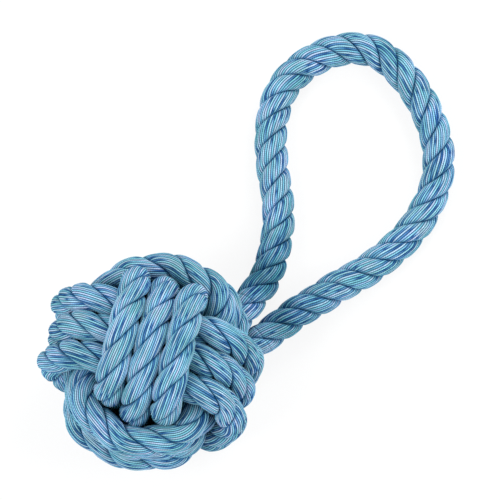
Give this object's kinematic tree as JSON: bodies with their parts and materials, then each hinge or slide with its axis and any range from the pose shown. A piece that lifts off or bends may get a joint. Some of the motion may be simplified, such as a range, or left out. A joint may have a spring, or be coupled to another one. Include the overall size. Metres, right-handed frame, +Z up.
{
  "type": "rope dog toy",
  "caption": "Rope dog toy: a monkey's fist ball knotted from one thick twisted cotton rope, with the rest of the rope as a hand loop, lying on a surface.",
  "frame": {"origin": "under the middle of the toy's outer box, on the surface it lies on", "axes": "+Z up from the surface, +Y from the ball towards the hand loop's far end, +X to the loop's side"},
  "size_m": [0.1836, 0.2056, 0.0896],
  "materials": {
    "dyed_cotton_rope": "matte, space-dyed in blues, turquoise and lavender",
    "core_filling": "matte, undyed"
  },
  "bodies": {
    "fist": {"core_ball": "core_filling", "fist_winding": "dyed_cotton_rope", "tucked_end": "dyed_cotton_rope"},
    "handle": {"hand_loop": "dyed_cotton_rope"}
  },
  "joints": [
    {"name": "handle_swing", "type": "hinge", "parent": "fist", "child": "handle", "pos_m": [0.01164, -0.02285, 0.0135], "axis": [0.6556, -0.7081, -0.2623], "range_deg": [-75, 85]}
  ]
}
